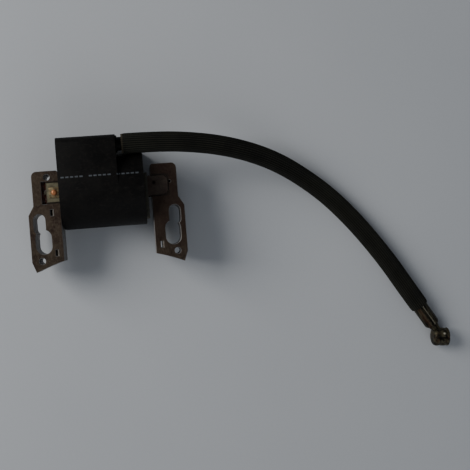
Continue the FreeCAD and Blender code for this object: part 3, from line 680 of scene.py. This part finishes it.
cup = {
    "centre": (0.1466, -0.0732, 0.00425),
    "turn": math.radians(-4.6),
    "profile": (  # along the cup and out from its axis
        (-3.6, 0.0), (-3.6, 2.0), (-3.5, 2.9), (-3.2, 3.55), (-2.7, 3.95), (-2.1, 4.12),
        (-1.3, 4.15), (-0.9, 4.0), (-0.6, 3.93), (-0.3, 3.93), (0.0, 4.0), (0.3, 4.13),
        (1.9, 4.15), (2.2, 4.0), (2.6, 3.95), (2.9, 4.03), (3.15, 4.18), (3.4, 4.16),
        (3.58, 4.02), (3.58, 3.88), (3.4, 3.77), (2.6, 3.74), (-2.4, 3.74), (-2.9, 3.4),
        (-3.15, 2.8), (-3.15, 0.0),
    ),
    "sides": 72,
    "wall": 3.7,  # what lies further out than this is wall
    "hair": 0.001,  # the least radius, at the middle of the floor
    "fold": 0.4,  # the depth of the crease along the top of the wall
    "foldWidth": math.radians(8),
    "highlightSpot": (147.7, -71.3, 8.2),  # a painted highlight spot, in millimetres
}

neck = {
    "stations": (  # along the lead, width, thickness and lift
        (9.3, 5.0, 3.0, -0.5), (10.4, 4.8, 3.2, -0.4), (11.2, 4.4, 3.2, -0.2),
        (12.0, 3.9, 2.9, -0.1), (13.2, 3.6, 2.6, 0.0), (14.0, 3.6, 2.4, 0.0), (14.4, 3.4, 2.2, 0.0),
    ),
    "sides": 32,
}


def leadEnd():
    last = Vector(leadRoute[-1])
    along = (last - Vector(leadRoute[-2])).normalized()
    return last, along, upAxis.cross(along)


def crimpBarrel(finish):
    origin, along, side = leadEnd()
    half = crimp["seam"] / 2 / crimp["radius"]
    turns = [
        half + (2 * math.pi - 2 * half) * step / (crimp["arcPoints"] - 1)
        for step in range(crimp["arcPoints"])
    ]

    def pinch(far, turn):
        depth, even = 0, crimp["bandEven"]
        for place, deep, wide in crimp["bands"]:
            dent = math.exp(-(((far - place) / wide) ** 4))
            depth += deep * dent * (even + (1 - even) * math.cos(2 * turn))
        edge = min(turn - half, 2 * math.pi - half - turn) * crimp["radius"]
        return depth + crimp["curl"] * math.exp(-((edge / crimp["curlWidth"]) ** 2))

    points, faces = [], []
    count = 2 * crimp["arcPoints"]
    for station in range(crimp["stations"]):
        far = crimp["length"] * station / (crimp["stations"] - 1)
        left = (crimp["length"] - far) / crimp["closingLength"]
        drawn = crimp["radius"] - crimp["closing"] * math.exp(-(left**2))
        ring = [(turn, drawn - pinch(far, turn)) for turn in turns]
        inner = [(turn, out - crimp["wall"]) for turn, out in reversed(ring)]
        for turn, out in ring + inner:
            offset = side * math.sin(turn) + upAxis * math.cos(turn)
            points.append(origin + along * (crimp["start"] + far) * mm + offset * out * mm)
    for station in range(crimp["stations"] - 1):
        base = station * count
        for step in range(count):
            after = (step + 1) % count
            faces.append((base + step, base + count + step, base + count + after, base + after))
    arc = crimp["arcPoints"]
    for base, flip in ((0, False), ((crimp["stations"] - 1) * count, True)):
        for step in range(arc - 1):
            face = (base + step, base + step + 1, base + count - 2 - step, base + count - 1 - step)
            faces.append(tuple(reversed(face)) if flip else face)
    piece = makePiece("crimpBarrel", points, faces, finish, smoothTo=50)
    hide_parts("terminal_barrel")
    return piece


def plugCup(finish):
    axis = Vector((math.cos(cup["turn"]), math.sin(cup["turn"]), 0))
    side = upAxis.cross(axis)
    origin = Vector(cup["centre"])
    points = []
    sides, profile = cup["sides"], cup["profile"]
    for far, out in profile:
        for step in range(sides):
            turn = 2 * math.pi * step / sides
            crease = cup["fold"] * math.exp(-(((turn - math.pi / 2) / cup["foldWidth"]) ** 2))
            reach = max(out - crease * (out > cup["wall"]), cup["hair"]) * mm
            offset = (side * math.cos(turn) + upAxis * math.sin(turn)) * reach
            points.append(origin + axis * far * mm + offset)
    faces = tubeFaces(len(profile), sides) + endFaces(len(profile), sides)
    piece = makePiece("plugCup", points, faces, finish, smoothTo=60)
    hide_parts("terminal_clip")
    return piece


def plugNeck(finish):
    origin, along, side = leadEnd()
    points = []
    sides, stations = neck["sides"], neck["stations"]
    for far, width, thick, lift in stations:
        for step in range(sides):
            turn = 2 * math.pi * step / sides
            # the corners are pushed out, so that the section is a rounded square
            across, over = (
                math.copysign(abs(part) ** 0.5, part) for part in (math.cos(turn), math.sin(turn))
            )
            offset = side * across * width / 2 + upAxis * (over * thick / 2 + lift)
            points.append(origin + (along * far + offset) * mm)
    faces = tubeFaces(len(stations), sides) + endFaces(len(stations), sides)
    return makePiece("plugNeck", points, faces, finish, smoothTo=60)


# finishes

barOutline = {"middle": (0.9, 5.35), "reach": (25.6, 4.35)}


def nearBar(finish, x, y):
    # how far outside the centre bar's outline a point is, in millimetres
    (middleX, middleY), (reachX, reachY) = barOutline["middle"], barOutline["reach"]
    return finish.maths("MAXIMUM", abs(x - middleX) - reachX, abs(y - middleY) - reachY)


steelLook = {
    "oxide": ((0.022, 0.010, 0.006), (0.060, 0.041, 0.026)),
    "foot": (0.036, 0.031, 0.020),
    "footEnd": -34,
    "footLength": 24,
    "stain": (0.085, 0.067, 0.045),
    "grain": (0.11, 0.082, 0.06),
    "speck": (0.016, 0.006, 0.004),
    # painted shade for the right leg above its foot
    "rightLegShade": (0.014, 0.004, 0.002),
    "halfSpan": 30,
    "edges": ((0.2, 0.205, 0.21), (0.4, 0.4, 0.4)),
    "edgeGrain": (0.13, 0.1, 0.075),
    "edgeRust": (0.1, 0.068, 0.045),
    "darkByBar": (0.014, 0.008, 0.005),
}


def steelFinish():
    # brown oxide on the flat faces, and grey sheared edges that differ from sheet to sheet; painted
    # shade on the right leg above its foot
    look = steelLook
    finish = Finish("oxidisedSteel", Specular_IOR_Level=0.25)
    where = finish.place()
    x, y, z = finish.axes(where)
    layer = finish.maths("FLOOR", (z - stack["foot"]) / stack["sheet"])
    sheet = finish.node("ShaderNodeTexWhiteNoise", {"noise_dimensions": "1D"}, {"W": layer})
    blotch = finish.noise(where, 0.17, 5, 0.62, 0.4)
    stain = finish.noise(where, 0.85, 4, 0.65, 0.8)
    grain = finish.noise(finish.join(x, y * 0.35, z), 2.0, 4, 0.7)
    speck = finish.noise(where, 4.5, 2, 0.5)
    normal = finish.node("ShaderNodeNewGeometry", out="Normal")
    flat = finish.rise(abs(finish.axes(normal)[2]), 0.74, 0.9)

    face = finish.mix(finish.rise(blotch, 0.38, 0.62), *look["oxide"])
    foot = finish.fall((y - look["footEnd"]) / look["footLength"], 0.25, 0.85)
    face = finish.mix(foot * 0.5, face, look["foot"])
    face = finish.mix(finish.rise(stain, 0.5, 0.6) * 0.55, face, look["stain"])
    face = finish.mix(finish.rise(grain, 0.52, 0.66) * 0.55, face, look["grain"])
    face = finish.mix(finish.rise(speck, 0.58, 0.7) * 0.8, face, look["speck"])
    # painted shade: the right leg above its foot is darkened where shadow falls on it
    rightness = (x + look["halfSpan"]) / (2 * look["halfSpan"])
    face = finish.mix(finish.rise(rightness, 0.6, 0.85) * (1 - foot) * 0.65, face, look["rightLegShade"])

    edge = finish.mix(sheet, *look["edges"])
    edge = finish.mix(finish.rise(grain, 0.42, 0.6) * 0.45, edge, look["edgeGrain"])
    edge = finish.mix(finish.rise(blotch, 0.48, 0.7) * 0.55, edge, look["edgeRust"])

    # the faces are made darker close to the centre bar's outline
    darkByBar = finish.fall(nearBar(finish, x, y) + stain * 0.5, 0.45, 0.85)
    colour = finish.mix(flat, edge, face)
    finish.set("Base Color", finish.mix(darkByBar * 0.85, colour, look["darkByBar"]))
    finish.set("Metallic", 0.2 + 0.25 * (1 - flat))
    finish.set("Roughness", 0.4 + blotch * 0.3 + stain * 0.1 - 0.1 * (1 - flat))
    finish.bump(blotch * 0.4 + grain * 0.4 + speck * 0.2, 0.08)
    return finish


barLook = {
    "olive": ((0.10, 0.085, 0.05), (0.2, 0.185, 0.115)),  # its left end
    "brown": ((0.026, 0.014, 0.01), (0.052, 0.038, 0.028)),  # its right end
    "halfSpan": 20,
    "speck": (0.06, 0.03, 0.018),
    "rim": (0.02, 0.014, 0.008),
}


def barFinish():
    look = barLook
    finish = Finish("filmedSteel", Specular_IOR_Level=0.4)
    where = finish.place()
    x, y, _ = finish.axes(where)
    blotch = finish.noise(where, 0.35, 5, 0.6, 0.3)
    speck = finish.noise(where, 3.0, 3, 0.6)
    patches = finish.rise(blotch, 0.35, 0.62)
    leftness = finish.rise((look["halfSpan"] - x) / (2 * look["halfSpan"]), 0.3, 0.7)
    left, right = (finish.mix(patches, *look[end]) for end in ("olive", "brown"))
    base = finish.mix(leftness, right, left)
    base = finish.mix(finish.rise(speck, 0.58, 0.7) * 0.7, base, look["speck"])
    rim = finish.fall(-nearBar(finish, x, y) - speck * 0.3, 0.1, 0.45)
    finish.set("Base Color", finish.mix(rim * 0.8, base, look["rim"]))
    finish.set("Metallic", 0.2 + 0.2 * blotch)
    finish.set("Roughness", 0.42 + speck * 0.25)
    finish.bump(blotch * 0.5 + speck * 0.5, 0.09)
    return finish


def plainFinish(
    name, colour, roughness, metallic=0.0, scale=0.8, spread=0.25, depth=0.03, **constants
):
    # a base colour with slow and fine variation, for small and inner parts
    finish = Finish(name, Metallic=metallic, **constants)
    where = finish.place()
    slow = finish.noise(where, scale, 4, 0.6)
    fine = finish.noise(where, scale * 9, 2, 0.5)
    dark = tuple(part * (1 - spread) for part in colour)
    light = tuple(min(part * (1 + spread), 1) for part in colour)
    finish.set("Base Color", finish.mix(finish.rise(slow, 0.35, 0.65), dark, light))
    finish.set("Roughness", roughness + (fine - 0.5) * 0.2)
    finish.bump(slow * 0.4 + fine * 0.6, depth)
    return finish


sleeveLook = {
    "thread": ((0.012, 0.012, 0.008), (0.028, 0.028, 0.018)),
    "lint": (0.046, 0.046, 0.03),
    # painted shade for the grooves between the ribs
    "grooveShade": (0.002, 0.002, 0.0015),
    "cutEnd": (0.085, 0.07, 0.045),
    "crossings": 1.1,  # for each millimetre of length
}


def sleeveFinish():
    look = sleeveLook
    finish = Finish("varnishedBraid", Specular_IOR_Level=0.2)
    around, far, _ = finish.axes(finish.along())
    lanes, slant = around * sleeve["ribs"], far * look["crossings"]
    right, left = (
        finish.maths("SINE", thread * 2 * math.pi) for thread in (lanes + slant, lanes - slant)
    )
    weave = finish.maths("MAXIMUM", right, left) * 0.5 + 0.5
    patch = finish.noise(finish.place(), 0.12, 4, 0.6)
    lint = finish.noise(finish.join(around * 90, far * 0.35), 1.0, 4, 0.7)
    crest = finish.maths("COSINE", lanes * 2 * math.pi) * 0.5 + 0.5
    shade = finish.mix(finish.rise(patch, 0.35, 0.65), *look["thread"])
    shade = finish.mix(finish.rise(lint, 0.5, 0.72) * 0.55, shade, look["lint"])
    # painted shade: the grooves between the ribs are darkened, and the rib crests keep the thread
    # colour
    shade = finish.mix(crest * crest * (0.55 + weave * 0.45), look["grooveShade"], shade)
    start = far < 0.5 + lint * 0.5
    finish.set("Base Color", finish.mix(start * 0.6, shade, look["cutEnd"]))
    finish.set("Roughness", 0.44 + lint * 0.25)
    finish.bump(weave * 0.6 + lint * 0.4, 0.09)
    return finish


shellLook = {
    "plastic": ((0.0022, 0.002, 0.002), (0.006, 0.0055, 0.005)),
    "grime": (0.016, 0.013, 0.011),
    "scuff": (0.036, 0.034, 0.032),
    "ink": (0.12, 0.135, 0.15),
}

# the pale row of printed dashes on the shell's front
marks = {
    "row": 10.6,
    "height": 0.62,
    "from": -17.4,
    "to": 15.8,
    "above": 20,
    "pitch": 1.9,
    "dash": 0.7,
    "group": 11.4,
    "filled": 0.83,
}


def dashes(finish, x, y, z):
    band = abs(y - marks["row"]) < marks["height"] / 2
    inside = (x > marks["from"]) * (x < marks["to"]) * (z > marks["above"])
    dash, group = (
        finish.maths("FRACT", (x - marks["from"]) / marks[length]) < marks[share]
        for length, share in (("pitch", "dash"), ("group", "filled"))
    )
    return band * dash * inside * group


def shellFinish():
    look = shellLook
    finish = Finish("mouldedShell", Specular_IOR_Level=0.13)
    where = finish.place()
    x, y, z = finish.axes(where)
    cloud = finish.noise(where, 0.14, 5, 0.65, 0.5)
    grime = finish.noise(where, 0.7, 4, 0.65)
    pore = finish.noise(where, 6.0, 2, 0.5)
    scuff = finish.noise(finish.join(x * 0.3, y * 2, z * 2), 1.4, 3, 0.6)
    worn = finish.noise(where, 1.1, 2, 0.5) * 0.8 + 0.25
    base = finish.mix(finish.rise(cloud, 0.35, 0.65), *look["plastic"])
    base = finish.mix(finish.rise(grime, 0.52, 0.7) * 0.45, base, look["grime"])
    base = finish.mix(finish.rise(scuff, 0.62, 0.72) * 0.3, base, look["scuff"])
    finish.set("Base Color", finish.mix(dashes(finish, x, y, z) * worn, base, look["ink"]))
    finish.set("Roughness", 0.4 + cloud * 0.2 + grime * 0.15)
    finish.bump(cloud * 0.45 + grime * 0.3 + pore * 0.25, 0.09)
    return finish


terminalLook = {
    "metal": ((0.006, 0.005, 0.003), (0.085, 0.076, 0.045)),
    "brown": (0.062, 0.026, 0.012),
    "brownAt": 1.9,  # left of the seam
    "tarnish": (0.008, 0.006, 0.003),
    # painted shade in the fold along the top of the cup
    "crease": (0.004, 0.003, 0.002),
    "creaseAbove": 6.5,
    # painted highlights: the rolled edge beside the seam and a spot on the cup
    "paintedHighlight": (0.66, 0.62, 0.5),
    "lipAt": 0.42,  # right of the seam
    "lipWidth": 0.2,
    "lipAbove": 6.4,
}


def terminalFinish(name, lip=False):
    # dark metal with streaks along the lead, with painted shade along the cup's fold and a painted
    # highlight spot near the cup's top; lip adds a painted highlight along the rolled edge beside
    # the crimp's seam
    look = terminalLook
    finish = Finish(name)
    where = finish.place()
    origin, along, side = leadEnd()
    far, across = (
        finish.dot(where, direction) - origin.dot(direction) / mm for direction in (along, side)
    )
    height = finish.axes(where)[2]
    streak = finish.noise(finish.join(far * 0.22, across * 1.5, height * 1.5), 0.75, 4, 0.6, 0.3)
    fine = finish.noise(where, 3.0, 3, 0.6)
    slow = finish.noise(where, 0.4, 3, 0.6)
    tarnish = finish.rise(fine, 0.55, 0.68)
    base = finish.mix(finish.rise(streak, 0.44, 0.57), *look["metal"])
    if lip:
        # painted highlight along the rolled edge beside the seam, on the barrel's top
        line = abs(across - look["lipAt"] + (slow - 0.5) * 0.3) < look["lipWidth"]
        paintedHighlight = line * (height > look["lipAbove"]) * finish.ramp(far, (0.0, 1), (1.0, 0.25)) * 0.6
        brown = finish.fall(abs(across + look["brownAt"] + (slow - 0.5) * 2), 0.35, 0.9)
    else:
        # painted highlight: a pale spot near the top of the cup
        apart = finish.node(
            "ShaderNodeVectorMath", {"operation": "DISTANCE"}, {0: where, 1: cup["highlightSpot"]}, out=1
        )
        paintedHighlight = finish.fall(apart + fine * 0.5, 0.7, 0.95)
        brown = finish.rise(slow, 0.5, 0.65)
        # painted shade along the fold at the top of the cup
        sideways = Vector((-math.sin(cup["turn"]), math.cos(cup["turn"]), 0))
        offset = finish.dot(where, sideways) - Vector(cup["centre"]).dot(sideways) / mm
        crease = finish.fall(abs(offset + 0.1) + slow * 0.5, 0.55, 0.85)
        base = finish.mix(crease * (height > look["creaseAbove"]) * 0.9, base, look["crease"])
    base = finish.mix(brown * 0.55, base, look["brown"])
    base = finish.mix(tarnish * 0.7, base, look["tarnish"])
    finish.set("Base Color", finish.mix(paintedHighlight, base, look["paintedHighlight"]))
    finish.set("Metallic", 0.75 - 0.3 * tarnish)
    finish.set("Roughness", 0.36 + slow * 0.2 + fine * 0.15)
    finish.bump(streak * 0.6 + fine * 0.4, 0.05)
    return finish


floorLook = {"paper": ((0.52, 0.545, 0.575), (0.6, 0.62, 0.645))}


def floorFinish():
    finish = Finish("paperFloor", Specular_IOR_Level=0.2)
    where = finish.place()
    soft = finish.noise(where, 0.012, 3, 0.5)
    fibre = finish.noise(where, 0.9, 3, 0.6)
    finish.set("Base Color", finish.mix(soft * 0.6 + fibre * 0.4, *floorLook["paper"]))
    finish.set("Roughness", 0.82 + fibre * 0.12)
    finish.bump(fibre, 0.05, 0.6)
    return finish


print("camera and light")
placeCamera()
lightStudio()

print("lead")
line = leadLine()
sleeveMaterial = sleeveFinish()
wireMaterial = plainFinish(
    "rubberLead", (0.004, 0.004, 0.003), 0.5, scale=0.5, Specular_IOR_Level=0.1
)
sleevePiece = braidedSleeve(line, sleeveMaterial)
wirePiece = leadWire(line, wireMaterial)

print("laminations")
steel = steelFinish()
laminatedStack("leftPole", "left_pole_laminations", steel, 3)
laminatedStack("rightPole", "right_pole_laminations", steel, 5)
laminatedStack(
    "centreBar", "center_bar_laminations", barFinish(), 8, slack=0.12 * mm
)
sheared = plainFinish("shearedSteel", (0.3, 0.27, 0.23), 0.4, 0.5, spread=0.4)
keyRamps(sheared)
darkVarnish = plainFinish("darkVarnish", (0.045, 0.012, 0.007), 0.3, spread=0.6, depth=0.08)
gapVarnish(darkVarnish)

print("shell")
softened("mouldedShell", "coil_shell", shellFinish(), 0.45)

print("terminal")
terminal = terminalFinish("tarnishedTerminal")
crimpBarrel(terminalFinish("tarnishedCrimp", lip=True))
plugCup(terminal)
plugNeck(terminal)
springMetal = plainFinish("springSteel", (0.1, 0.09, 0.065), 0.42, 0.8, spread=0.5)
softened("plugSpring", "clip_spring", springMetal, 0.12)

print("small parts")
bobbin = plainFinish("bobbinPlastic", (0.026, 0.024, 0.014), 0.42, spread=0.5)
tagMetal = plainFinish("tarnishedTag", (0.2, 0.15, 0.08), 0.42, 0.6, spread=0.5)
bead = plainFinish("copperySolder", (0.5, 0.2, 0.085), 0.36, 0.6, spread=0.4)
blade = plainFinish("tinnedBlade", (0.55, 0.5, 0.38), 0.32, 0.9)
rubber = plainFinish("sealRubber", (0.004, 0.004, 0.003), 0.6, Specular_IOR_Level=0.1)
for name, node, finish, width, slot in (
    ("bobbin", "primary_bobbin", bobbin, 0.18, "bobbin_plastic"),
    ("earthTag", "ground_tag", tagMetal, 0.12, "copper_tag"),
    ("solderBead", "ground_solder", bead, 0.2, "solder"),
    ("stopBlade", "stop_terminal", blade, 0.15, "tinned_blade"),
    ("leadSeal", "lead_seal", rubber, 0.15, "seal_rubber"),
):
    softened(name, node, finish, width)

copper = plainFinish("enamelledCopper", (0.5, 0.2, 0.08), 0.35, 0.9)
epoxy = plainFinish("componentEpoxy", (0.03, 0.03, 0.03), 0.45)
lacquer = plainFinish("resistorLacquer", (0.5, 0.38, 0.24), 0.4)
resin = plainFinish("pottingResin", (0.016, 0.014, 0.012), 0.22)
strands = plainFinish("copperStrands", (0.55, 0.25, 0.12), 0.35, 0.9)
brass = plainFinish("outputBrass", (0.55, 0.4, 0.17), 0.3, 0.9)
iron = plainFinish("ironPin", (0.35, 0.35, 0.36), 0.35, 0.9)
glass = plainFinish("boardGlass", (0.04, 0.14, 0.06), 0.4)
for finish, names in (
    (resin, ("potting_resin",)),
    (bobbin, ("secondary_bobbin",)),
    (copper, ("primary_winding", "secondary_winding", "trigger_coil")),
    (strands, ("hv_lead_conductor",)),
    (epoxy, ("switching_transistor", "clamp_diode")),
    (lacquer, ("bias_resistor", "trigger_resistor")),
    (brass, ("hv_output_pin",)),
    (iron, ("trigger_core",)),
    (glass, ("circuit_board",)),
):
    for node in names:
        wear(node, finish)

onLead = [wirePiece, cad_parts["hv_lead_conductor"]] + [
    bpy.data.objects[name] for name in ("crimpBarrel", "plugCup", "plugNeck", "plugSpring")
]

print("floor")
half = studio["floorSize"] / 2
floorMesh = bpy.data.meshes.new("floor")
corners = [(-half, -half, 0), (half, -half, 0), (half, half, 0), (-half, half, 0)]
floorMesh.from_pydata(corners, [], [(0, 1, 2, 3)])
floorMesh.materials.append(floorFinish().material)
floor = bpy.data.objects.new("floor", floorMesh)
bpy.context.scene.collection.objects.link(floor)
